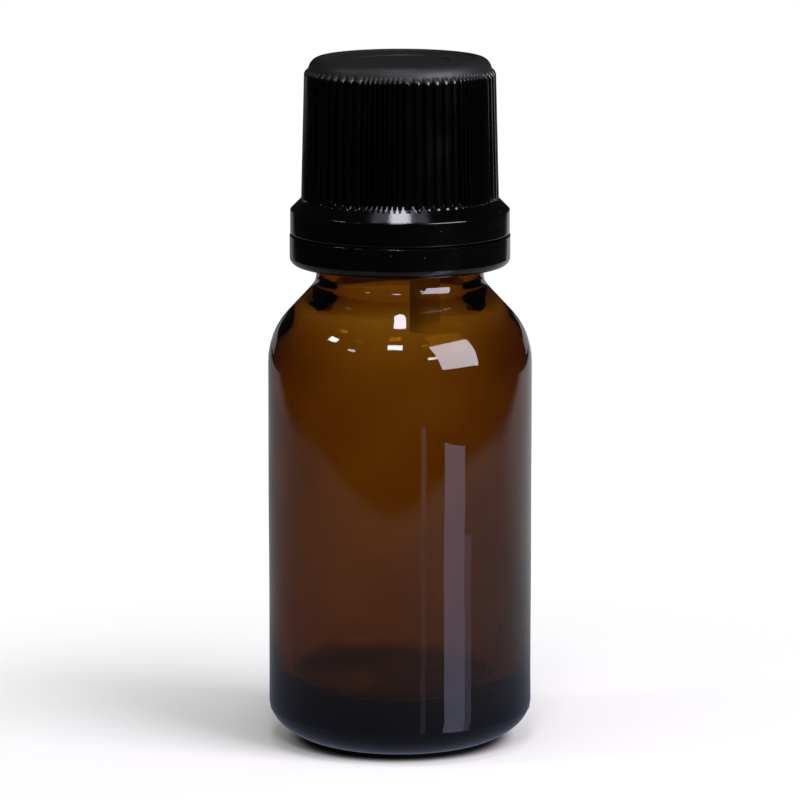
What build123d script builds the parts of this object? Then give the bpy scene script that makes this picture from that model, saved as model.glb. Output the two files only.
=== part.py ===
from build123d import *
from math import cos, sin, tan, radians
import os

# Amber glass dropper bottle, nominal 15 ml, with a ribbed tamper-evident screw cap
# All sizes in millimetres, +Z up, origin at the centre of the bottle's base

# Glass bottle, outside
bottle_height = 65.0      # base to rim, without the cap
body_r = 14.25            # straight wall, 28.5 across
heel_width = 7.0          # how far the rounded heel reaches in from the wall
heel_height = 4.45        # and how far up
bearing_width = 0.9       # flat ring that the bottle stands on
push_up = 1.0             # rise of the hollow under the base
shoulder_slope = 42.5     # degrees from the vertical
shoulder_round = 7.8      # large outside radius of the shoulder
neck_round = 1.95         # hollow radius from the shoulder into the neck
neck_length = 3.9         # plain neck, from where the slope meets it to the bead

# Glass bottle, neck finish for an 18 mm cap
mouth_r = 5.5             # bore that the dropper is pressed into
finish_wall = 2.45        # glass round the bore, at the root of the screw thread
neck_wall = 3.52          # glass round the bore in the plain neck
thread_height = 0.9       # room that the thread takes between root and crest
bead_drop = 10.8          # rim down to the flat underside of the retaining bead
bead_proud = 0.98         # how far the bead stands out from the neck
bead_land = 0.9           # height of the bead's rim
bead_slope = 1.8          # height of the lead-in slope above the rim
bead_round = 0.25
finish_round = 0.8        # hollow radius between that slope and the finish
rim_round = 0.6           # outer edge of the mouth
mouth_round = 0.35        # inner edge of the mouth

# Glass bottle, inside
wall_high = 2.1           # body wall under the shoulder
wall_low = 3.0            # and above the base, as the cavity narrows a little downwards
shoulder_wall = 1.8       # at the wide end of the slope
neck_root_wall = 2.5      # and at its narrow end
floor_wall = 5.4          # glass at the middle of the base
floor_round = 2.2
inner_shoulder_round = 6.0
inner_neck_round = 4.2

# Dropper insert
flange_wall = 1.2
flange_inset = 0.45       # flange edge in from the edge of the finish
flange_round = 0.3
plug_wall = 0.8
plug_length = 8.0         # below the flange
plug_slack = 0.1          # plug wall to glass, taken up by the sealing rings
plug_taper = 0.5          # lead-in at the plug's end
ring_squeeze = 0.04       # how far a sealing ring is pressed into the glass's place
ring_count = 3
ring_half = 0.45          # half height of one sealing ring
ring_pitch = 2.0
ring_drop = 1.6           # first ring below the flange
nozzle_height = 6.9       # above the flange
nozzle_tip_r = 3.3
nozzle_wall = 0.65
nozzle_flare = 1.3        # height of the flared mouth
nozzle_lip = 0.25         # how far the flared mouth stands out, so that the drop falls cleanly
spout_r = 1.25            # small spout in the middle of the nozzle
spout_tip_r = 1.0
spout_drop = 1.9          # spout's end below the nozzle's mouth
orifice_r = 0.4
vent_r = 0.5
vent_edge = 0.25          # cup floor between the vent hole and the nozzle's wall
vent_tube_r = 1.65
vent_tube_gap = 0.25      # vent tube to the plug's inner wall
vent_tube_length = 20.8   # below the flange

# Screw cap, outside
skirt_wall = 1.45
skirt_height = 2.55       # smooth skirt below the cone
skirt_above_bead = 1.35   # cap's lower edge above the bead's underside
grip_wall = 1.1           # wall between the ribs, at the cone
grip_draft = 0.34         # how much that wall narrows up to the top edge
ceiling_wall = 1.32
crown_width = 1.23        # rounded top edge
crown_height = 1.46
crown_land = 0.43         # flat rim of the top face
face_step = 0.12          # face below that rim
face_width = 1.3          # ring that slopes down inside the rim
face_slope = 0.14
dish_r = 5.4
dish_depth = 0.15
edge_round = 0.12         # small broken edges of the moulding

# Screw cap, ribs: equal sectors, each with a run of fine and a run of coarse ribs
sectors = 6
fine_ribs = 8
fine_pitch = 3.0          # degrees
coarse_ribs = 6
first_rib = -112.5        # degrees from +X to the edge of the first fine run
rib_height = 0.41
rib_drop = 1.62           # rib tops below the top of the cap
rib_end = 0.5             # height of their sloped end facets
rib_crest_share = 0.34    # crest width as a share of the rib pitch
rib_foot_share = 0.78
rib_root = 0.3            # how deep a rib is rooted in the wall

# Screw cap, inside
thread_gap = 0.25         # thread crest to the wall facing it
skirt_gap = 0.35          # round the bead
skirt_pocket = 1.9        # depth of the wide mouth above the cap's lower edge
ceiling_round = 1.0
seal_gap = 0.1            # seal ring to the throat of the nozzle's mouth
seal_wall = 0.5
seal_depth = 0.9

# Tamper band
band_wall = 1.52
band_below_bead = 2.05    # band's lower edge below the bead's underside
band_round = 0.85         # lower outer edge
cut_width = 0.15          # the cut between cap and band
lug_gap = 0.36            # retaining lugs to the plain neck
lug_drop = 0.3            # lugs below the bead
lug_land = 0.35
lug_slope = 0.95
lug_count = 8
lug_arc = 33.0            # degrees
lug_root = 0.4            # how deep a lug is rooted in the wall
bridge_count = 8
bridge_width = 0.7
bridge_depth = 0.6
bridge_inset = 0.2        # bridges in from the band's inner wall

# Derived sizes
slope = radians(shoulder_slope)
cavity_high_r = body_r - wall_high
cavity_low_r = body_r - wall_low
bearing_r = body_r - heel_width
floor_z = push_up + floor_wall
neck_r = mouth_r + neck_wall
finish_r = mouth_r + finish_wall
bead_r = neck_r + bead_proud
bead_z = bottle_height - bead_drop
bead_top_z = bead_z + bead_land + bead_slope
shoulder_z = bead_z - neck_length - (body_r - neck_r) / tan(slope)
flange_r = finish_r - flange_inset
flange_top_z = bottle_height + flange_wall
plug_r = mouth_r - plug_slack
plug_inner_r = plug_r - plug_wall
plug_bottom_z = bottle_height - plug_length
vent_tube_x = plug_inner_r - vent_tube_gap - vent_tube_r
cup_floor_r = vent_tube_x + vent_r + vent_edge
cup_throat_r = nozzle_tip_r - nozzle_wall
nozzle_base_r = cup_floor_r + nozzle_wall
nozzle_top_z = flange_top_z + nozzle_height
ceiling_z = nozzle_top_z
cap_top_z = ceiling_z + ceiling_wall
cap_bottom_z = bead_z + skirt_above_bead
skirt_inner_r = bead_r + skirt_gap
skirt_r = skirt_inner_r + skirt_wall
thread_bore_r = finish_r + thread_height + thread_gap
grip_low_r = thread_bore_r + grip_wall
grip_top_r = grip_low_r - grip_draft
crown_r = grip_top_r - crown_width
face_r = crown_r - crown_land
cone_z = cap_bottom_z + skirt_height
cone_top_z = cone_z + skirt_r - grip_low_r
rib_top_z = cap_top_z - rib_drop
coarse_pitch = (360 / sectors - fine_ribs * fine_pitch) / coarse_ribs
band_r = skirt_inner_r + band_wall
band_top_z = cap_bottom_z - cut_width
band_bottom_z = bead_z - band_below_bead
lug_r = neck_r + lug_gap
lug_top_z = bead_z - lug_drop


def on_slope(r, depth=0.0):
    """Height of the shoulder's straight slope at radius r, or of a line that deep inside the glass."""
    along = (body_r - depth * cos(slope) - r) / sin(slope)
    return shoulder_z - depth * sin(slope) + along * cos(slope)


def outline(corners):
    """Open line through (r, z, radius) corners; a radius rounds its corner, and 0 keeps it sharp."""
    points = [(r, z) for r, z, _ in corners]
    return FilletPolyline(*points, radius=[radius for _, _, radius in corners[1:-1]])


def glass_bottle():
    with BuildPart() as bottle:
        with BuildSketch(Plane.XZ):
            with BuildLine():
                # Hollow under the base, bearing ring and rounded heel
                TangentArc((0, push_up), (bearing_r - bearing_width, 0), tangent=(1, 0))
                Line((bearing_r - bearing_width, 0), (bearing_r, 0))
                EllipticalCenterArc(
                    (bearing_r, heel_height), heel_width, heel_height, start_angle=270, arc_size=90
                )
                # Wall, shoulder, neck, bead and finish, then back down the inside to the floor
                outline([
                    (body_r, heel_height, 0),
                    (body_r, shoulder_z, shoulder_round),
                    (neck_r, on_slope(neck_r), neck_round),
                    (neck_r, bead_z, bead_round),
                    (bead_r, bead_z, bead_round),
                    (bead_r, bead_z + bead_land, bead_round),
                    (finish_r, bead_top_z, finish_round),
                    (finish_r, bottle_height, rim_round),
                    (mouth_r, bottle_height, mouth_round),
                    (mouth_r, on_slope(mouth_r, neck_root_wall), inner_neck_round),
                    (cavity_high_r, on_slope(cavity_high_r, shoulder_wall), inner_shoulder_round),
                    (cavity_low_r, floor_z, floor_round),
                    (0, floor_z, 0),
                ])
                Line((0, floor_z), (0, push_up))
            make_face()
        revolve(axis=Axis.Z)
    return bottle.part


def nozzle_and_plug():
    """Flange with the plug's skirt below it and the open nozzle above, round a small drip spout."""
    flare_z = nozzle_top_z - nozzle_flare
    spout_z = nozzle_top_z - spout_drop
    with BuildSketch(Plane.XZ) as section:
        with BuildLine():
            Polyline(
                (orifice_r, bottle_height),
                (plug_inner_r, bottle_height),
                (plug_inner_r, plug_bottom_z),
                (plug_r - plug_taper / 2, plug_bottom_z),
                (plug_r, plug_bottom_z + plug_taper),
                (plug_r, bottle_height),
                (flange_r, bottle_height),
            )
            outline([
                (flange_r, bottle_height, 0),
                (flange_r, flange_top_z, flange_round),
                (nozzle_base_r, flange_top_z, flange_round),
                (nozzle_tip_r, flare_z, nozzle_flare / 2),
                (nozzle_tip_r + nozzle_lip, nozzle_top_z, 0),
            ])
            outline([
                (nozzle_tip_r + nozzle_lip, nozzle_top_z, 0),
                (cup_throat_r + nozzle_lip, nozzle_top_z, 0),
                (cup_throat_r, flare_z, nozzle_flare / 2),
                (cup_floor_r, flange_top_z, 0),
                (spout_r, flange_top_z, flange_round),
                (spout_tip_r, spout_z, 0),
            ])
            Polyline((spout_tip_r, spout_z), (orifice_r, spout_z), (orifice_r, bottle_height))
        make_face()
    return section.sketch


def sealing_ring(z):
    """Half-round ring that seals the plug in the bore."""
    with BuildSketch(Plane.XZ) as section:
        with BuildLine():
            ThreePointArc((plug_r, z - ring_half), (mouth_r + ring_squeeze, z), (plug_r, z + ring_half))
            Polyline(
                (plug_r, z + ring_half),
                (plug_r - plug_wall / 2, z + ring_half),
                (plug_r - plug_wall / 2, z - ring_half),
                (plug_r, z - ring_half),
            )
        make_face()
    return section.sketch


def dropper_insert():
    with BuildPart() as insert:
        revolve(nozzle_and_plug(), axis=Axis.Z)
        for i in range(ring_count):
            revolve(sealing_ring(bottle_height - ring_drop - i * ring_pitch), axis=Axis.Z)
        # Vent tube beside the axis, with its channel open into the nozzle's cup
        with Locations((vent_tube_x, 0, bottle_height)):
            Cylinder(vent_tube_r, vent_tube_length, align=(Align.CENTER, Align.CENTER, Align.MAX))
        with Locations((vent_tube_x, 0, flange_top_z)):
            Cylinder(
                vent_r,
                vent_tube_length + flange_wall,
                align=(Align.CENTER, Align.CENTER, Align.MAX),
                mode=Mode.SUBTRACT,
            )
    return insert.part


def rib_places():
    """Middle angle and pitch of every rib, in degrees."""
    for sector in range(sectors):
        angle = first_rib + sector * 360 / sectors
        for pitch in [fine_pitch] * fine_ribs + [coarse_pitch] * coarse_ribs:
            yield angle + pitch / 2, pitch
            angle += pitch


def rib_ring():
    """All ribs, rooted in the wall, trimmed to the drafted crest and the sloped upper ends."""
    root_r = grip_top_r - rib_root
    low_z = cone_z + (skirt_r - grip_low_r - rib_height) / 2
    low_crest_r = grip_low_r + rib_height
    top_crest_r = grip_top_r + rib_height
    top_z = rib_top_z + rib_end
    with BuildPart() as ribs:
        with BuildSketch(Plane.XY.offset(low_z)):
            for angle, pitch in rib_places():
                foot = radians(pitch * rib_foot_share / 2)
                crest = radians(pitch * rib_crest_share / 2)
                edge = [(root_r, foot), (grip_top_r, foot), (low_crest_r, crest)]
                corners = [(r * cos(a), -r * sin(a)) for r, a in edge]
                corners += [(r * cos(a), r * sin(a)) for r, a in reversed(edge)]
                with Locations(Rot(0, 0, angle)):
                    Polygon(*corners, align=None)
        extrude(amount=top_z - low_z)
        with BuildSketch(Plane.XZ):
            with BuildLine():
                Polyline(
                    (root_r, low_z),
                    (low_crest_r, low_z),
                    (low_crest_r, cone_top_z - rib_height),
                    (top_crest_r, rib_top_z),
                    (grip_top_r, top_z),
                    (root_r, top_z),
                    close=True,
                )
            make_face()
        revolve(axis=Axis.Z, mode=Mode.INTERSECT)
    return ribs.part


def cap_section():
    """Half section of the cap without its ribs."""
    face_z = cap_top_z - face_step
    ring_z = face_z - face_slope
    dish_z = ring_z - dish_depth
    pocket_z = cap_bottom_z + skirt_pocket
    seal_r = cup_throat_r - seal_gap
    seal_z = ceiling_z - seal_depth
    with BuildSketch(Plane.XZ) as section:
        with BuildLine():
            # Top face: dish, flat ring, sloping ring and the flat rim round it all
            Polyline(
                (0, dish_z),
                (dish_r - dish_depth, dish_z),
                (dish_r, ring_z),
                (face_r - face_width, ring_z),
                (face_r - face_step, face_z),
                (face_r, cap_top_z),
                (crown_r, cap_top_z),
            )
            EllipticalCenterArc(
                (crown_r, cap_top_z - crown_height), crown_width, crown_height, start_angle=0, arc_size=90
            )
            # Drafted wall, cone and skirt, then the inside up to the ceiling and its seal ring
            outline([
                (grip_top_r, cap_top_z - crown_height, 0),
                (grip_low_r, cone_top_z, 0),
                (skirt_r, cone_z, edge_round),
                (skirt_r, cap_bottom_z, edge_round),
                (skirt_inner_r, cap_bottom_z, 0),
                (skirt_inner_r, pocket_z, edge_round),
                (thread_bore_r, pocket_z + skirt_inner_r - thread_bore_r, edge_round),
                (thread_bore_r, ceiling_z, ceiling_round),
                (seal_r, ceiling_z, 0),
                (seal_r, seal_z, edge_round),
                (seal_r - seal_wall, seal_z, edge_round),
                (seal_r - seal_wall, ceiling_z, 0),
                (0, ceiling_z, 0),
            ])
            Line((0, ceiling_z), (0, dish_z))
        make_face()
    return section.sketch


def screw_cap():
    with BuildPart() as cap:
        revolve(cap_section(), axis=Axis.Z)
        add(rib_ring())
    return cap.part


def retaining_lug():
    """One lug that catches under the bead, with a slope that lets it snap over on the way down."""
    with BuildPart() as lug:
        with BuildSketch(Plane.XZ):
            Polygon(
                (skirt_inner_r + lug_root, lug_top_z),
                (lug_r, lug_top_z),
                (lug_r, lug_top_z - lug_land),
                (skirt_inner_r, lug_top_z - lug_land - lug_slope),
                (skirt_inner_r + lug_root, lug_top_z - lug_land - lug_slope),
                align=None,
            )
        revolve(axis=Axis.Z, revolution_arc=lug_arc)
    return lug.part


def tamper_band():
    with BuildPart() as band:
        with BuildSketch(Plane.XZ):
            with BuildLine():
                outline([
                    (skirt_inner_r, band_top_z, 0),
                    (band_r, band_top_z, edge_round),
                    (band_r, band_bottom_z, band_round),
                    (skirt_inner_r, band_bottom_z, edge_round),
                    (skirt_inner_r, lug_top_z, 0),
                ])
                Line((skirt_inner_r, lug_top_z), (skirt_inner_r, band_top_z))
            make_face()
        revolve(axis=Axis.Z)
        with PolarLocations(0, lug_count):
            add(retaining_lug())
        # Bridges left across the cut, which break when the cap is first turned
        with Locations((0, 0, band_top_z)):
            with PolarLocations(skirt_inner_r + bridge_inset, bridge_count):
                Box(
                    bridge_depth, bridge_width, cut_width, align=(Align.MIN, Align.CENTER, Align.MIN)
                )
    return band.part


def main():
    os.makedirs("parts", exist_ok=True)
    nodes = {
        "glass_bottle": glass_bottle(),
        "dropper_insert": dropper_insert(),
        "screw_cap": screw_cap(),
        "tamper_band": tamper_band(),
    }
    for name, shape in nodes.items():
        export_step(shape, f"parts/{name}.step")


main()
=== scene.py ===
"""Looks of an amber dropper bottle: moulded glass, polyethylene dropper, ribbed black cap and band."""

from math import cos, pi, radians, sin, sqrt, tan

import bmesh
import bpy
import numpy as np
from mathutils import Matrix, Vector

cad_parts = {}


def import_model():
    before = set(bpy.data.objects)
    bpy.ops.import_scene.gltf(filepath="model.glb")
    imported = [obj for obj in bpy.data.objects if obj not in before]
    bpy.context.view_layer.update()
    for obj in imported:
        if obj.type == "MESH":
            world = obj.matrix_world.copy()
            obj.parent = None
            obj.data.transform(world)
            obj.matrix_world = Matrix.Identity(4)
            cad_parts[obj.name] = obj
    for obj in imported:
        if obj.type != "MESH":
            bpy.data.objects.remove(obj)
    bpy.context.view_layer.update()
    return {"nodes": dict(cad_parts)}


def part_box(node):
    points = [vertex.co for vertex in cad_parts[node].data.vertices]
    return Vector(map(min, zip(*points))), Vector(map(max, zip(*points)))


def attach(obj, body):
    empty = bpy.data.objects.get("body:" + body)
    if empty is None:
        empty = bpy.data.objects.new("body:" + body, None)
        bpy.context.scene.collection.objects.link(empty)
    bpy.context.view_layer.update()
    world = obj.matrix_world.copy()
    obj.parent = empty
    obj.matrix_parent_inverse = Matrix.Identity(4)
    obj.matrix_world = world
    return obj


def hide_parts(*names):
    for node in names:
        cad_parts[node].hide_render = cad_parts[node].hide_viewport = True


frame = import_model()

bl_info = {
    "name": "Dropper Bottle Looks",
    "version": (1, 0, 0),
    "blender": (4, 5, 0),
    "location": "View3D > Sidebar > Bottle",
    "description": "Builds the glass, dropper, cap and studio of a small amber dropper bottle",
    "category": "Object",
}

MM = 0.001

# The bottle's and the cap's own boxes give their outer radii and heights
BOTTLE_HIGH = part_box("glass_bottle")[1]
CAP_LOW, CAP_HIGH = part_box("screw_cap")

# Radii that two pieces share or that their threads stand on, and where the bottle's thread starts
FINISH_R = 7.95 * MM
CAP_BORE_R = 9.1 * MM
GRIP_LOW_R = 10.2 * MM
GRIP_TOP_R = 9.86 * MM
THREAD_START = 58.6 * MM

# How far threads and ribs stand out, and how near to a face a point of a section counts as on it
THREAD_HEIGHT = 0.9 * MM
RIB_HEIGHT = 0.41 * MM
ON_FACE = 0.01 * MM

# The skirt's straight wall, and where the cone above it meets the grip
SKIRT_WALL = 2.55 * MM
CONE_TOP = CAP_LOW.z + SKIRT_WALL + CAP_HIGH.x - GRIP_LOW_R


# Small helpers

def linear(code):
    """An sRGB hex colour as linear RGBA."""
    channels = [int(code[i:i + 2], 16) / 255 for i in (1, 3, 5)]
    return [c / 12.92 if c <= 0.04045 else ((c + 0.055) / 1.055) ** 2.4 for c in channels] + [1.0]


def ramp(low, high, value):
    """Smooth step from 0 at low to 1 at high."""
    share = np.clip((value - low) / (high - low), 0, 1)
    return share * share * (3 - 2 * share)


def ripple(a, z, waves):
    """Slow unevenness, about -1 to 1. Each wave is (times round, height of one wave in mm, phase)."""
    total = sum(np.sin(times * a + 2 * pi * z / (tall * MM) + phase) for times, tall, phase in waves)
    return total / len(waves)


def screw_thread(a, z, start, pitch, first, last):
    """Share of the full height of a right-hand thread that runs from turn first to turn last."""
    root, crest = 0.5 * pitch, 0.2 * pitch
    run_out = 0.08
    share = np.zeros_like(z + a)
    for turn in range(int(last) + 1):
        along = a / (2 * pi) + turn
        inside = ramp(first, first + run_out, along) * (1 - ramp(last - run_out, last, along))
        off = np.abs(z - start - along * pitch)
        share = np.maximum(share, inside * (1 - ramp(crest / 2, root / 2, off)))
    return share


def direction(azimuth, elevation):
    """Unit vector; azimuth in degrees from -Y towards +X, elevation in degrees above the table."""
    a, e = radians(azimuth), radians(elevation)
    return Vector((sin(a) * cos(e), -cos(a) * cos(e), sin(e)))


# Outlines, as lists of (r, z) in metres

def rounded(corners, spacing=0.3 * MM, turn=radians(7)):
    """Points along the line through (r, z, radius) corners: straight runs divided, corners as arcs."""
    points = []
    for i, (r, z, radius) in enumerate(corners):
        here = Vector((r, z))
        if radius and 0 < i < len(corners) - 1:
            back = (Vector(corners[i - 1][:2]) - here).normalized()
            ahead = (Vector(corners[i + 1][:2]) - here).normalized()
            half = back.angle(ahead) / 2
            centre = here + (back + ahead).normalized() * (radius / sin(half))
            first = here + back * (radius / tan(half)) - centre
            sweep = pi - 2 * half
            side = 1 if back.x * ahead.y - back.y * ahead.x < 0 else -1
            steps = max(2, int(round(sweep / turn)))
            angles = [side * sweep * k / steps for k in range(steps + 1)]
            arc = [centre + Matrix.Rotation(angle, 2) @ first for angle in angles]
        else:
            arc = [here]
        if points:
            run = arc[0] - points[-1]
            pieces = max(1, int(round(run.length / spacing)))
            points += [points[-1] + run * (k / pieces) for k in range(1, pieces)]
        points += arc
    return [(p.x, p.y) for p in points]


def quarter(centre, wide, high, start, steps):
    """Points of a quarter ellipse that starts at the given angle and turns upwards or inwards."""
    places = [radians(start + 90 * k / steps) for k in range(steps + 1)]
    return [(centre[0] + wide * cos(a), centre[1] + high * sin(a)) for a in places]


# Turned pieces

def turned(name, section, angles, change=None):
    """Mesh object turned round Z from (r, z) points; change(a, r, z) gives each one's new r and z."""
    section = np.array(section, float)
    count, turns = len(section), len(angles)
    a, r = np.meshgrid(angles, section[:, 0], indexing="ij")
    z = np.broadcast_to(section[:, 1], r.shape)
    if change:
        r, z = change(a, r, z)
    points = np.stack([r * np.cos(a), r * np.sin(a), z], -1).reshape(-1, 3)
    i, j = np.meshgrid(np.arange(turns), np.arange(count - 1), indexing="ij")
    here, beside = i * count + j, (i + 1) % turns * count + j
    quads = np.stack([here, beside, beside + 1, here + 1], -1)
    mesh = bpy.data.meshes.new(name)
    mesh.from_pydata(points.tolist(), [], quads.reshape(-1, 4).tolist())
    piece = bpy.data.objects.new(name, mesh)
    bpy.context.scene.collection.objects.link(piece)
    tidy(piece)
    return piece


def even_angles(count):
    """Angles once round, evenly apart."""
    return np.arange(count) * 2 * pi / count


def tidy(piece, corner=32.0):
    """Merges the points on the axis, faces everything outwards and keeps only real corners sharp."""
    mesh = bmesh.new()
    mesh.from_mesh(piece.data)
    bmesh.ops.remove_doubles(mesh, verts=mesh.verts, dist=1e-7)
    bmesh.ops.dissolve_degenerate(mesh, edges=mesh.edges, dist=1e-8)
    bmesh.ops.recalc_face_normals(mesh, faces=mesh.faces)
    mesh.to_mesh(piece.data)
    mesh.free()
    piece.data.polygons.foreach_set("use_smooth", [True] * len(piece.data.polygons))
    piece.data.set_sharp_from_angle(angle=radians(corner))


def finish(piece, material, body, node):
    """Gives a piece its material and its body, and hides the node it stands for."""
    piece.data.materials.append(material)
    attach(piece, body)
    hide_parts(node)


# Materials

def add(material, kind, inputs=(), **settings):
    """Adds a node with its settings; inputs are (input, node, socket or plain value)."""
    node = material.node_tree.nodes.new(kind)
    for name, value in settings.items():
        if name in node.inputs:
            node.inputs[name].default_value = value
        else:
            setattr(node, name, value)
    for name, source in inputs:
        if isinstance(source, bpy.types.Node):
            source = source.outputs[0]
        if isinstance(source, bpy.types.NodeSocket):
            material.node_tree.links.new(source, node.inputs[name])
        else:
            node.inputs[name].default_value = source
    return node


def bare_material(name):
    """Node material with nothing in it yet."""
    material = bpy.data.materials.new(name)
    material.use_nodes = True
    material.node_tree.nodes.clear()
    return material


def new_material(name):
    """Node material with Principled linked to its output."""
    material = bare_material(name)
    shader = add(material, "ShaderNodeBsdfPrincipled")
    output = add(material, "ShaderNodeOutputMaterial", [("Surface", shader)])
    return material, shader, output


def blend(material, value, low, high, at_low, at_high):
    """Smooth change of a value between two places."""
    limits = [("From Min", low), ("From Max", high), ("To Min", at_low), ("To Max", at_high)]
    inputs = [("Value", value), *limits]
    return add(material, "ShaderNodeMapRange", inputs, interpolation_type="SMOOTHSTEP")


def maths(material, operation, first, second, clamp=False):
    """Arithmetic on a socket and a second socket or number."""
    inputs = [(0, first), (1, second)]
    return add(material, "ShaderNodeMath", inputs, operation=operation, use_clamp=clamp)


def length(material, vector):
    """Socket with the length of a vector."""
    return add(material, "ShaderNodeVectorMath", [(0, vector)], operation="LENGTH").outputs["Value"]


def noise(material, place, size, detail):
    """Cloudy pattern with lumps of about that size."""
    return add(material, "ShaderNodeTexNoise", [("Vector", place)], Scale=1 / size, Detail=detail)


def two_colours(material, share, first, second):
    """Socket with the first sRGB hex colour where the share is 0 and the second where it is 1."""
    # The node's colour inputs go by number, as its inputs of other kinds have the same names
    colours = [(6, linear(first)), (7, linear(second))]
    return add(material, "ShaderNodeMix", [("Factor", share), *colours], data_type="RGBA").outputs[2]


def surface(material, shader, colour, rough, height, depth, ior):
    """Gives the shader its colour, its roughness, a bump of that depth and its refractive index."""
    bump = add(material, "ShaderNodeBump", [("Height", height)], Distance=depth, Strength=1.0)
    sources = {"Base Color": colour, "Roughness": rough.outputs[0], "Normal": bump.outputs[0]}
    for name, source in sources.items():
        material.node_tree.links.new(source, shader.inputs[name])
    shader.inputs["IOR"].default_value = ior


def amber_glass(settings):
    """Soda-lime glass, coloured through with iron and sulphur, blown in a mould and fire-polished."""
    material, shader, output = new_material("amber_soda_lime_glass")
    place = add(material, "ShaderNodeTexCoord").outputs["Object"]
    # Faint waves of the fire-polished skin, and a few handled spots that are less clear
    waves = noise(material, place, 3.5 * MM, 2.0)
    handled = noise(material, place, 1.2 * MM, 5.0)
    rough = blend(material, handled, 0.62, 0.78, 0.0, 0.04)
    colour = two_colours(material, waves, "#ffffff", "#f6f2ea")
    surface(material, shader, colour, rough, waves, 0.006 * MM, 1.52)
    shader.inputs["Transmission Weight"].default_value = 1.0
    tint = linear(settings.glass_tint)
    absorb = add(material, "ShaderNodeVolumeAbsorption", Color=tint, Density=settings.glass_density)
    material.node_tree.links.new(absorb.outputs[0], output.inputs["Volume"])
    return material


def black_polypropylene():
    """Injection-moulded polypropylene with carbon black: polished wall, spark-eroded top, some dust;
    the top face is also painted a lighter grey, which is painted light from above.
    """
    material, shader = new_material("black_polypropylene_moulded")[:2]
    place = add(material, "ShaderNodeTexCoord").outputs["Object"]
    height = add(material, "ShaderNodeSeparateXYZ", [(0, place)]).outputs["Z"]
    top = blend(material, height, CAP_HIGH.z - 1.9 * MM, CAP_HIGH.z - 1.3 * MM, 0.0, 1.0)
    grain = noise(material, place, 0.22 * MM, 3.0)
    handled = noise(material, place, 4.5 * MM, 4.0)
    polished = blend(material, handled, 0.35, 0.70, 0.10, 0.17)
    eroded = 0.50
    mix = [("Factor", top), ("A", polished), ("B", eroded)]
    rough = add(material, "ShaderNodeMix", mix, data_type="FLOAT")
    # Dust: a speck at the middle of every fifth cell, each about a tenth of a millimetre
    cells = add(material, "ShaderNodeTexVoronoi", [("Vector", place)], Scale=1 / (0.9 * MM))
    speck = maths(material, "LESS_THAN", cells.outputs["Distance"], 0.07)
    chance = add(material, "ShaderNodeSeparateColor", [(0, cells.outputs["Color"])])
    few = maths(material, "GREATER_THAN", chance, 0.80)
    dust = maths(material, "MULTIPLY", speck, few)
    # Painted light: the top face is painted a lighter grey than the wall, standing in for light from
    # above; its higher roughness is the real spark-eroded finish
    black = two_colours(material, top, "#020202", "#161617")
    colour = two_colours(material, dust, "#020202", "#3a3a3c")
    material.node_tree.links.new(black, colour.node.inputs[6])
    surface(material, shader, colour, rough, grain, 0.004 * MM, 1.49)
    return material


def natural_polyethylene():
    """Low-density polyethylene with no pigment: milky, waxy, lets light in."""
    material, shader = new_material("natural_ldpe_moulded")[:2]
    place = add(material, "ShaderNodeTexCoord").outputs["Object"]
    cloud = noise(material, place, 2.5 * MM, 3.0)
    grain = noise(material, place, 0.15 * MM, 2.0)
    rough = blend(material, cloud, 0.3, 0.7, 0.32, 0.44)
    colour = two_colours(material, cloud, "#dcdcd2", "#ebebe4")
    surface(material, shader, colour, rough, grain, 0.003 * MM, 1.51)
    shader.inputs["Subsurface Weight"].default_value = 0.8
    shader.inputs["Subsurface Radius"].default_value = (1.0, 0.9, 0.8)
    shader.inputs["Subsurface Scale"].default_value = 2.0 * MM
    return material


def emitting(material, colour, strength):
    """Makes a material plain emission that lights nothing, from values or sockets."""
    light = add(material, "ShaderNodeEmission", [("Color", colour), ("Strength", strength)])
    add(material, "ShaderNodeOutputMaterial", [("Surface", light)])
    material.cycles.emission_sampling = "NONE"
    return material


def glow(name, colour, strength):
    """Plain emission for a card in the studio."""
    return emitting(bare_material(name), linear(colour), strength)


# Sizes and colours that a user would change

class BOTTLE_PG_glass(bpy.types.PropertyGroup):
    """Moulded glass bottle."""

    wall_high: bpy.props.FloatProperty(
        name="Wall, top", description="Thickness of the body's wall under the shoulder",
        default=2.1 * MM, min=0.5 * MM, unit="LENGTH",
    )
    wall_low: bpy.props.FloatProperty(
        name="Wall, foot", description="Thickness of the body's wall above the base",
        default=3.0 * MM, min=0.5 * MM, unit="LENGTH",
    )
    shoulder_wall: bpy.props.FloatProperty(
        name="Shoulder", description="Thickness of the sloping shoulder",
        default=1.0 * MM, min=0.5 * MM, unit="LENGTH",
    )
    neck_wall: bpy.props.FloatProperty(
        name="Neck root", description="Thickness of the shoulder where it runs into the neck",
        default=2.3 * MM, min=0.5 * MM, unit="LENGTH",
    )
    floor_wall: bpy.props.FloatProperty(
        name="Floor", description="Glass at the middle of the base",
        default=5.4 * MM, min=0.5 * MM, unit="LENGTH",
    )
    parting_z: bpy.props.FloatProperty(
        name="Parting line", description="Height of the line between mould and bottom plate",
        default=3.55 * MM, min=0.0, unit="LENGTH",
    )
    thread_pitch: bpy.props.FloatProperty(
        name="Thread pitch", description="Rise of the screw thread in one turn",
        default=3.0 * MM, min=1.0 * MM, unit="LENGTH",
    )
    glass_tint: bpy.props.StringProperty(
        name="Tint", description="Colour that the glass lets through, sRGB hex", default="#d9c146",
    )
    glass_density: bpy.props.FloatProperty(
        name="Density", description="How strongly a metre of the glass absorbs the rest",
        default=1600.0,
    )


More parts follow.
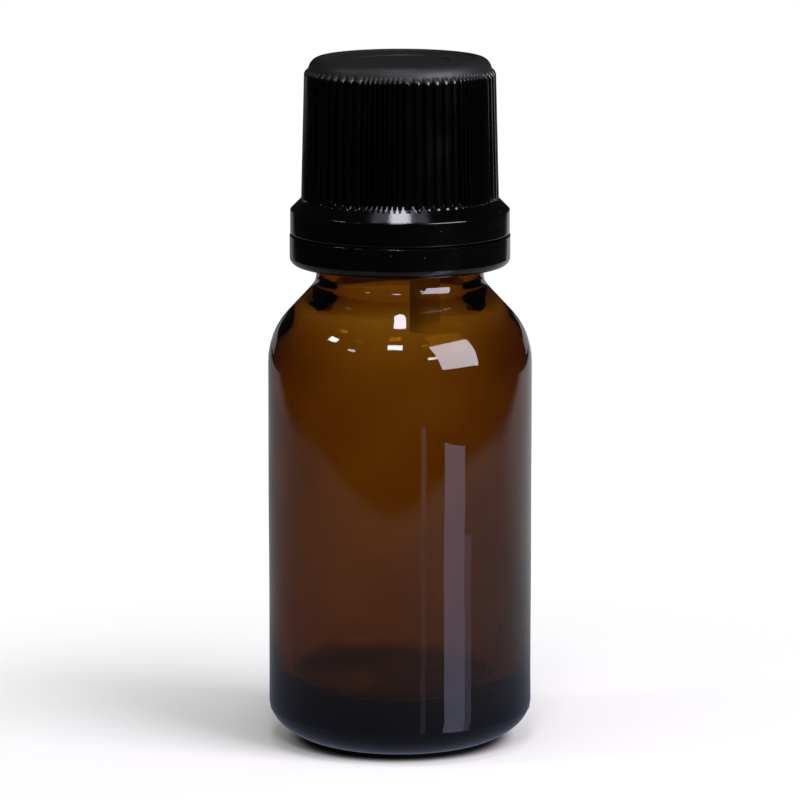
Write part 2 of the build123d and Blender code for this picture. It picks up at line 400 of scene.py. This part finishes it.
class BOTTLE_PG_studio(bpy.types.PropertyGroup):
    """Camera and lights."""

    camera_distance: bpy.props.FloatProperty(
        name="Camera distance", description="Camera in front of the bottle's axis",
        default=552.338 * MM, unit="LENGTH",
    )
    camera_height: bpy.props.FloatProperty(
        name="Camera height", description="Camera above the table",
        default=134.92 * MM, unit="LENGTH",
    )
    camera_tilt: bpy.props.FloatProperty(
        name="Camera tilt", description="How far the camera looks down",
        default=radians(10.028), subtype="ANGLE",
    )
    camera_lens: bpy.props.FloatProperty(
        name="Lens", description="Focal length on a 36 mm sensor, in millimetres", default=233.57,
    )
    floor_colour: bpy.props.StringProperty(
        name="Floor", description="Colour of the floor, sRGB hex", default="#f2f2f0",
    )
    ambient: bpy.props.FloatProperty(
        name="Ambient", description="Strength of the even light that fills the shadows", default=0.35,
    )


# Pieces

def glass_section(settings):
    """Half section of the bottle, outside then inside, and how many of its points are outside."""
    # Outside
    body_r = BOTTLE_HIGH.x
    height = BOTTLE_HIGH.z
    slope = radians(42.5)
    neck_r = 9.02 * MM
    bead_r = neck_r + 0.98 * MM
    bead_z = height - 10.8 * MM
    bead_wall = 0.9 * MM
    bead_round = 0.25 * MM
    heel_wide = 7.0 * MM
    heel_z = 4.45 * MM
    bearing_r = body_r - heel_wide
    push_up = 1.0 * MM
    shoulder_z = bead_z - 3.9 * MM - (body_r - neck_r) / tan(slope)
    parting_rise = 0.05 * MM
    parting_reach = 0.16 * MM
    # Inside: the bore holds the dropper's plug and widens below it, where the shoulder's glass is thin
    mouth_r = 5.5 * MM
    plug_z = height - 9.5 * MM
    wide_r = 7.0 * MM
    wide_z = height - 11.5 * MM
    cavity_r = body_r - settings.wall_high
    floor_z = push_up + settings.floor_wall

    def on_slope(r, depth=0.0):
        along = (body_r - depth * cos(slope) - r) / sin(slope)
        return shoulder_z - depth * sin(slope) + along * cos(slope)

    foot_r = bearing_r - 0.9 * MM
    dome_r = (foot_r ** 2 + push_up ** 2) / (2 * push_up)
    steps = 12
    rings = [foot_r * k / steps for k in range(steps)]
    base = [(r, push_up - dome_r + sqrt(dome_r ** 2 - r ** 2)) for r in rings]
    base += rounded([(foot_r, 0, 0), (bearing_r, 0, 0)])[:-1]
    heel = []
    for r, z in quarter((bearing_r, heel_z), heel_wide, heel_z, 270, 90):
        # Parting line between the mould and its bottom plate
        line = 1 - ramp(0, parting_reach, abs(z - settings.parting_z))
        heel.append((r + parting_rise * line, z))
    outside = rounded([
        (body_r, heel_z, 0),
        (body_r, shoulder_z, 7.8 * MM),
        (neck_r, on_slope(neck_r), 1.95 * MM),
        (neck_r, bead_z, bead_round),
        (bead_r, bead_z, bead_round),
        (bead_r, bead_z + bead_wall, bead_round),
        (FINISH_R, bead_z + 2.7 * MM, 0.8 * MM),
        (FINISH_R, height, 0.6 * MM),
        (mouth_r, height, 0.35 * MM),
        (mouth_r, plug_z, 2.0 * MM),
        (wide_r, wide_z, 2.0 * MM),
        (wide_r, on_slope(wide_r, settings.neck_wall), 1.6 * MM),
        (cavity_r, on_slope(cavity_r, settings.shoulder_wall), 6.0 * MM),
        (body_r - settings.wall_low, floor_z, 2.2 * MM),
        (0, floor_z, 0),
    ])
    outline = base + heel + outside[1:]
    last = max(i for i, (r, z) in enumerate(outline) if z > height - ON_FACE)
    return outline, last + 1


def glass_shape(settings, outside):
    """How the moulded surface departs from a turned one; the section's first points are outside."""
    outer_waves = ((2, 41, 0.3), (3, -29, 1.9), (5, 17, 4.2))
    inner_waves = ((2, 31, 0.4), (3, -23, 2.1), (5, 14, 4.0), (7, -11, 1.2), (4, 9, 5.1))
    outer_depth = 0.02 * MM
    inner_depth = 0.14 * MM
    bow_out = 0.035 * MM
    side_glass = 0.35 * MM
    patch_glass = 0.15 * MM
    patch_angle = 5.80
    patch_wide = 0.30
    lean = 0.35 * MM
    floor_slope = 0.055
    floor_wave = 0.12 * MM

    def change(a, r, z):
        outer = np.arange(r.shape[1])[None, :] < outside
        # Thread on the finish, only on the plain wall between bead and rim
        plain = outer & (np.abs(r - FINISH_R) < ON_FACE)
        thread = screw_thread(a, z, THREAD_START, settings.thread_pitch, 0.0, 1.5)
        # Faint waves outside, stronger ones inside, where only air shaped the glass
        body = ramp(5.0 * MM, 8.0 * MM, z) * (1 - ramp(44.0 * MM, 48.0 * MM, z))
        outer_wave = body * outer_depth * (1 + ripple(a, z, outer_waves))
        inner_wave = body * inner_depth * ripple(a, z, inner_waves)
        # The slope of the shoulder bows out a little
        bow = np.sin(pi * np.clip((z - 43.5 * MM) / (5.5 * MM), 0, 1)) * bow_out
        # The shoulder has more glass at both sides than in front and behind, most on the right
        ring = ramp(37.5 * MM, 43.5 * MM, z) * (1 - ramp(43.5 * MM, 50.0 * MM, z))
        patch = np.exp(-((a - patch_angle) / patch_wide) ** 2)
        extra = ring * (side_glass * np.cos(a) ** 2 + patch_glass * patch)
        # The cavity leans to one side at the foot, and its floor is uneven and rises to the back
        low = 1 - ramp(12.0 * MM, 38.0 * MM, z)
        leaning = low * lean * np.cos(a) * ramp(0, 9.0 * MM, r)
        on_floor = 1 - ramp(8.0 * MM, 14.0 * MM, z)
        uneven = floor_slope * r * np.sin(a) + floor_wave * np.sin(2 * a + 1.0) * ramp(0, 8.0 * MM, r)
        outward = np.where(plain, thread * THREAD_HEIGHT, 0) - outer_wave + bow
        new_r = r + np.where(outer, outward, inner_wave - extra - leaning)
        return new_r, z + np.where(outer, 0, on_floor * uneven)

    return change


class BOTTLE_OT_glass(bpy.types.Operator):
    """Blown and moulded bottle of amber glass, with its neck finish."""

    bl_idname = "bottle.glass"
    bl_label = "Glass bottle"

    def execute(self, context):
        settings = context.scene.bottle_glass
        section, outside = glass_section(settings)
        piece = turned("amber_bottle", section, even_angles(288), glass_shape(settings, outside))
        finish(piece, amber_glass(settings), "bottle", "glass_bottle")
        return {"FINISHED"}


def cap_section():
    """Half section of the cap between its ribs, from the top's middle down outside and up inside."""
    top = CAP_HIGH.z
    low = CAP_LOW.z
    skirt_r = CAP_HIGH.x
    skirt_inner = skirt_r - 1.45 * MM
    crown_wide = 1.23 * MM
    crown_high = 1.46 * MM
    crown_r = GRIP_TOP_R - crown_wide
    crown_z = top - crown_high
    face_r = crown_r - 0.43 * MM
    face_z = top - 0.12 * MM
    ring_z = face_z - 0.14 * MM
    dish_z = ring_z - 0.15 * MM
    pocket_z = low + 1.9 * MM
    ceiling_z = top - 1.32 * MM
    seal_r = 2.55 * MM
    seal_inner = seal_r - 0.5 * MM
    seal_z = ceiling_z - 0.9 * MM
    face = rounded([
        (0, dish_z, 0),
        (5.25 * MM, dish_z, 0.1 * MM),
        (5.4 * MM, ring_z, 0.1 * MM),
        (face_r - 1.3 * MM, ring_z, 0.3 * MM),
        (face_r - 0.12 * MM, face_z, 0.05 * MM),
        (face_r, top, 0.05 * MM),
        (crown_r, top, 0),
    ])
    crown = quarter((crown_r, crown_z), crown_wide, crown_high, 0, 14)[::-1]
    wall = rounded([
        (GRIP_TOP_R, crown_z, 0),
        (GRIP_LOW_R, CONE_TOP, 0),
        (skirt_r, low + SKIRT_WALL, 0.2 * MM),
        (skirt_r, low, 0.15 * MM),
        (skirt_inner, low, 0.1 * MM),
        (skirt_inner, pocket_z, 0.12 * MM),
        (CAP_BORE_R, pocket_z + skirt_inner - CAP_BORE_R, 0.12 * MM),
        (CAP_BORE_R, ceiling_z, 1.0 * MM),
        (seal_r, ceiling_z, 0.1 * MM),
        (seal_r, seal_z, 0.12 * MM),
        (seal_inner, seal_z, 0.12 * MM),
        (seal_inner, ceiling_z, 0.1 * MM),
        (0, ceiling_z, 0),
    ], 0.25 * MM)
    return face + crown[1:] + wall[1:]


def rib_places():
    """Middle angle and pitch of every rib in degrees; each sector has fine ribs, then coarse ones."""
    first, sectors = -112.5, 6
    fine, coarse = [3.0] * 8, [6.0] * 6
    for sector in range(sectors):
        angle = first + sector * 360 / sectors
        for pitch in fine + coarse:
            yield angle + pitch / 2, pitch
            angle += pitch


def rib_samples():
    """Angles of the cap's mesh, closer together on the ribs' flanks, with the rib height at each."""
    samples = []
    for middle, pitch in rib_places():
        crest, foot = 0.15 * pitch, 0.41 * pitch
        flank = [crest + (foot - crest) * share for share in (0.0, 0.12, 0.3, 0.5, 0.7, 0.88, 1.0)]
        for offset in [-x for x in reversed(flank)] + flank:
            share = 1 - ramp(crest, foot, abs(offset))
            samples.append((radians(middle + offset), float(share)))
    return samples


def cap_shape(pitch, ribs):
    """Ribs outside and screw thread inside the cap."""
    top = CAP_HIGH.z
    ribs = np.array(ribs)[:, None]

    def change(a, r, z):
        # Ribs on the grip, which the cone cuts off below and the crown lets fade above
        grip = (r > GRIP_TOP_R - 0.3 * MM) & (z > CONE_TOP - 0.5 * MM) & (z < top - 0.5 * MM)
        upper = 1 - ramp(top - 1.62 * MM, top - 1.12 * MM, z)
        base = np.where(z < CONE_TOP, GRIP_LOW_R, r)
        new_r = np.where(grip, np.maximum(r, base + ribs * upper * RIB_HEIGHT), r)
        # Thread in the bore, half a pitch below the bottle's so that the two lie between each other
        bore = (np.abs(r - CAP_BORE_R) < ON_FACE) & (z < top - 2.5 * MM)
        thread = screw_thread(a, z, THREAD_START - pitch / 2, pitch, 0.25, 1.75)
        return new_r - np.where(bore, thread * THREAD_HEIGHT, 0), z

    return change


class BOTTLE_OT_cap(bpy.types.Operator):
    """Ribbed screw cap, one moulding with its skirt, seal ring and thread."""

    bl_idname = "bottle.cap"
    bl_label = "Screw cap"

    def execute(self, context):
        samples = rib_samples()
        angles = [angle % (2 * pi) for angle, share in samples]
        order = sorted(range(len(angles)), key=angles.__getitem__)
        shape = cap_shape(context.scene.bottle_glass.thread_pitch, [samples[i][1] for i in order])
        piece = turned("ribbed_cap", cap_section(), [angles[i] for i in order], shape)
        finish(piece, black_polypropylene(), "cap", "screw_cap")
        return {"FINISHED"}


class BOTTLE_OT_dropper(bpy.types.Operator):
    """Material of the dropper insert and of the tamper band."""

    bl_idname = "bottle.dropper"
    bl_label = "Dropper and band"

    def execute(self, context):
        looks = {"tamper_band": black_polypropylene(), "dropper_insert": natural_polyethylene()}
        for node, material in looks.items():
            slot = frame["nodes"][node].material_slots[0]
            slot.link = "OBJECT"
            slot.material = material
        return {"FINISHED"}


# Studio

AIM = Vector((0, 0, 45 * MM))

# name, azimuth and elevation in degrees, distance in metres, width and height in degrees,
# radiance, colour
LAMPS = (
    ("window_softbox", 54.0, 25.5, 0.45, 36.0, 36.0, 10.0, "#f4effa"),
    ("overhead_softbox", 0.0, 80.5, 0.50, 12.0, 6.0, 15.0, "#f6f2ff"),
    ("ceiling_glow", 0.0, 83.0, 0.52, 34.0, 6.0, 1.5, "#e6e2ff"),
    ("overhead_strip", 0.0, 75.0, 0.50, 8.0, 2.0, 20.0, "#f6f2ff"),
    ("front_lamp", -5.0, 44.0, 0.60, 12.0, 8.0, 20.0, "#ffffff"),
    ("left_lamp", -78.0, 41.0, 0.60, 9.0, 6.0, 20.0, "#ffffff"),
    ("left_front_lamp", -49.0, 33.0, 0.60, 7.0, 3.0, 10.0, "#ffffff"),
    ("right_front_lamp", 30.0, 24.0, 0.60, 8.0, 3.0, 15.0, "#ffffff"),
)

# name, first and last azimuth in degrees, near and far end in millimetres, colour, strength
SHEENS = (
    ("window_sheen", 39.0, 58.5, 2, 190, "#ccccec", 2.0),
    ("sheen_edge", 58.5, 65.0, 2, 120, "#ccccec", 1.1),
    ("lamp_sheen", 18.0, 22.5, 4, 200, "#b0b0c0", 0.9),
)

# azimuth, half width in degrees, strength
PALE_WALLS = ((-155, 32, 0.34), (155, 28, 0.46))


def lamp(name, azimuth, elevation, distance, wide, high, radiance, colour):
    """Soft rectangular light that faces the bottle, which sees it there and that large."""
    light = bpy.data.lights.new(name, "AREA")
    light.shape = "RECTANGLE"
    light.size = 2 * distance * tan(radians(wide) / 2)
    light.size_y = 2 * distance * tan(radians(high) / 2)
    light.energy = radiance * pi * light.size * light.size_y
    light.color = linear(colour)[:3]
    lamp_object = bpy.data.objects.new(name, light)
    away = direction(azimuth, elevation)
    lamp_object.location = AIM + away * distance
    lamp_object.rotation_euler = away.to_track_quat("Z", "Y").to_euler()
    lamp_object.visible_camera = False
    bpy.context.scene.collection.objects.link(lamp_object)


def card(name, corners, material):
    """Flat card that only reflections show, as a studio has outside the picture."""
    mesh = bpy.data.meshes.new(name)
    mesh.from_pydata(corners, [], [tuple(range(len(corners)))])
    piece = bpy.data.objects.new(name, mesh)
    bpy.context.scene.collection.objects.link(piece)
    mesh.materials.append(material)
    only_reflected(piece)


def mirrored_strip(name, first, last, near, far, up, material):
    """Level card that the body mirrors as an upright strip between two azimuths."""
    radius = BOTTLE_HIGH.x
    corners = []
    for azimuth, distance in ((first, near), (last, near), (last, far), (first, far)):
        place = direction(azimuth / 2, 0) * radius + direction(azimuth, 0) * distance
        corners.append((place.x, place.y, up))
    card(name, corners, material)


def reflections():
    """The dim table, the sheen of the window on it, the dark room and the pale wall low down behind."""
    reach = 0.59
    layer = 0.04 * MM
    ends = ((-1, -1), (1, -1), (1, 1), (-1, 1))
    card("dim_table", [(x * reach, y * reach, layer) for x, y in ends], dim_table())
    for name, first, last, near, far, colour, strength in SHEENS:
        material = glow(name, colour, strength)
        mirrored_strip(name, first, last, near * MM, far * MM, 2 * layer, material)
    wall_top = reach * tan(radians(3)) + 40 * MM
    for azimuth, wide, strength in PALE_WALLS:
        away = direction(azimuth, 0) * reach
        across = direction(azimuth + 90, 0) * reach * tan(radians(wide))
        high = Vector((0, 0, wall_top))
        corners = [away - across, away + across, away + across + high, away - across + high]
        card("pale_wall", [tuple(c) for c in corners], glow("pale_wall", "#ffffff", strength))
    radius, foot, ceiling = 0.6, -0.01, 0.62
    outline = [(0.0, ceiling), (radius, ceiling), (radius, 0.2), (radius, foot), (0.0, foot)]
    tent = turned("dark_tent", outline, even_angles(64))
    tent.data.materials.append(glow("dark_tent", "#ffffff", 0.012))
    only_reflected(tent)


def dim_table():
    """Table as the glass mirrors it: darker left, paler right and behind, dark past its edge."""
    material = bare_material("dim_table")
    place = add(material, "ShaderNodeNewGeometry").outputs["Position"]
    apart = add(material, "ShaderNodeSeparateXYZ", [(0, place)])
    aside = blend(material, apart.outputs["X"], -20 * MM, 90 * MM, 0.21, 0.40)
    behind = blend(material, apart.outputs["Y"], 10 * MM, 90 * MM, 1.0, 1.35)
    level = maths(material, "MULTIPLY", aside, behind)
    # The edge in front is an ellipse that reaches this far; behind, only the sides have an edge
    side, front = 0.2, 0.155
    ahead = add(material, "ShaderNodeVectorMath", [(0, place), (1, (10, 0, 10))], operation="MINIMUM")
    share = add(material, "ShaderNodeVectorMath", [(0, ahead), (1, (1 / side, 1 / front, 0))],
                operation="MULTIPLY")
    edge = blend(material, length(material, share), 0.93, 1.08, 1.0, 0.04)
    level = maths(material, "MULTIPLY", level, edge)
    near = blend(material, length(material, place), 20 * MM, 70 * MM, 1.0, 0.0)
    return emitting(material, two_colours(material, near, "#fdfbff", "#d4daff"), level)


def only_reflected(piece):
    """Shows a stage piece to glossy rays alone."""
    piece.visible_camera = False
    piece.visible_diffuse = False
    piece.visible_transmission = False
    piece.visible_volume_scatter = False
    piece.visible_shadow = False


def seen_outright(material, path):
    """1 for rays from the camera and for mirrored ones, 0 for the others."""
    return maths(material, "ADD", path.outputs["Is Camera Ray"], path.outputs["Is Glossy Ray"])


def world(settings):
    """White behind the bottle and through it, dimmer higher up; an even, weaker light on it."""
    surround = bpy.data.worlds.new("white_surround")
    surround.use_nodes = True
    surround.node_tree.nodes.clear()
    path = add(surround, "ShaderNodeLightPath")
    outright = seen_outright(surround, path)
    toward = add(surround, "ShaderNodeTexCoord").outputs["Generated"]
    height = add(surround, "ShaderNodeSeparateXYZ", [(0, toward)]).outputs["Z"]
    low = blend(surround, height, sin(radians(-3)), sin(radians(12)), 1.0, 0.2)
    through = maths(surround, "MULTIPLY", path.outputs["Is Transmission Ray"], low)
    seen = maths(surround, "ADD", outright, through, clamp=True)
    light = add(surround, "ShaderNodeBackground", Color=linear("#ffffff"), Strength=settings.ambient)
    white = add(surround, "ShaderNodeBackground", Color=linear("#ffffff"), Strength=1.0)
    both = add(surround, "ShaderNodeMixShader", [(0, seen), (1, light), (2, white)])
    add(surround, "ShaderNodeOutputWorld", [("Surface", both)])
    bpy.context.scene.world = surround


def floor(settings):
    """Pale floor that keeps the soft shadow near the bottle, has a painted dark shadow under the
    bottle's base, and runs out to plain white.
    """
    material, shader, output = new_material("matt_paper_floor")
    place = add(material, "ShaderNodeNewGeometry").outputs["Position"]
    far = length(material, place)
    # Painted shadow: the floor under the bottle's base is painted dark grey, seen through the glass and
    # under the rounded heel
    under = blend(material, far, 10 * MM, 13 * MM, 1.0, 0.0)
    colour = two_colours(material, under, settings.floor_colour, "#303034")
    material.node_tree.links.new(colour, shader.inputs["Base Color"])
    shader.inputs["Roughness"].default_value = 0.9
    shader.inputs["Specular IOR Level"].default_value = 0.0
    path = add(material, "ShaderNodeLightPath")
    outright = seen_outright(material, path)
    seen = maths(material, "ADD", outright, path.outputs["Is Transmission Ray"], clamp=True)
    spread = blend(material, far, 14 * MM, 80 * MM, 0.0, 1.0)
    share = maths(material, "MULTIPLY", spread, seen)
    white = add(material, "ShaderNodeEmission", Color=linear("#ffffff"), Strength=1.0)
    both = add(material, "ShaderNodeMixShader", [(0, share), (1, shader), (2, white)])
    material.node_tree.links.new(both.outputs[0], output.inputs["Surface"])
    radius, level = 0.6, -0.02 * MM
    mesh = bpy.data.meshes.new("floor")
    rim = [(radius * cos(a), radius * sin(a), level) for a in even_angles(96)]
    mesh.from_pydata(rim, [], [tuple(range(len(rim)))])
    piece = bpy.data.objects.new("floor", mesh)
    bpy.context.scene.collection.objects.link(piece)
    mesh.materials.append(material)


def camera(settings):
    """Camera at the photograph's place, looking straight at the bottle from a little above."""
    lens = bpy.data.cameras.new("camera")
    lens.lens = settings.camera_lens
    lens.sensor_width = 36
    lens.clip_start = 0.01
    lens.clip_end = 10
    viewer = bpy.data.objects.new("camera", lens)
    viewer.location = (0, -settings.camera_distance, settings.camera_height)
    viewer.rotation_euler = (pi / 2 - settings.camera_tilt, 0, 0)
    bpy.context.scene.collection.objects.link(viewer)
    bpy.context.scene.camera = viewer


class BOTTLE_OT_studio(bpy.types.Operator):
    """Camera, floor, white surround, lights and the cards that reflections show."""

    bl_idname = "bottle.studio"
    bl_label = "Studio"

    def execute(self, context):
        settings = context.scene.bottle_studio
        camera(settings)
        world(settings)
        floor(settings)
        for setup in LAMPS:
            lamp(*setup)
        reflections()
        context.scene.view_settings.view_transform = "Standard"
        context.scene.cycles.max_bounces = 24
        context.scene.cycles.transmission_bounces = 24
        context.scene.cycles.glossy_bounces = 12
        return {"FINISHED"}


class BOTTLE_PT_panel(bpy.types.Panel):
    """Buttons that build the bottle and its studio."""

    bl_idname = "BOTTLE_PT_panel"
    bl_label = "Dropper bottle"
    bl_space_type = "VIEW_3D"
    bl_region_type = "UI"
    bl_category = "Bottle"

    def draw(self, context):
        for group in (context.scene.bottle_glass, context.scene.bottle_studio):
            box = self.layout.box()
            for name in group.__annotations__:
                box.prop(group, name)
        for operator in OPERATORS:
            self.layout.operator(operator.bl_idname)


GROUPS = {"bottle_glass": BOTTLE_PG_glass, "bottle_studio": BOTTLE_PG_studio}
OPERATORS = (BOTTLE_OT_studio, BOTTLE_OT_glass, BOTTLE_OT_cap, BOTTLE_OT_dropper)


def register():
    for cls in (*GROUPS.values(), *OPERATORS, BOTTLE_PT_panel):
        bpy.utils.register_class(cls)
    for name, group in GROUPS.items():
        setattr(bpy.types.Scene, name, bpy.props.PointerProperty(type=group))


def unregister():
    for name in GROUPS:
        delattr(bpy.types.Scene, name)
    for cls in (BOTTLE_PT_panel, *reversed(OPERATORS), *GROUPS.values()):
        bpy.utils.unregister_class(cls)


def main():
    register()
    bpy.ops.bottle.studio()
    bpy.ops.bottle.glass()
    bpy.ops.bottle.cap()
    bpy.ops.bottle.dropper()


if __name__ == "__main__":
    main()
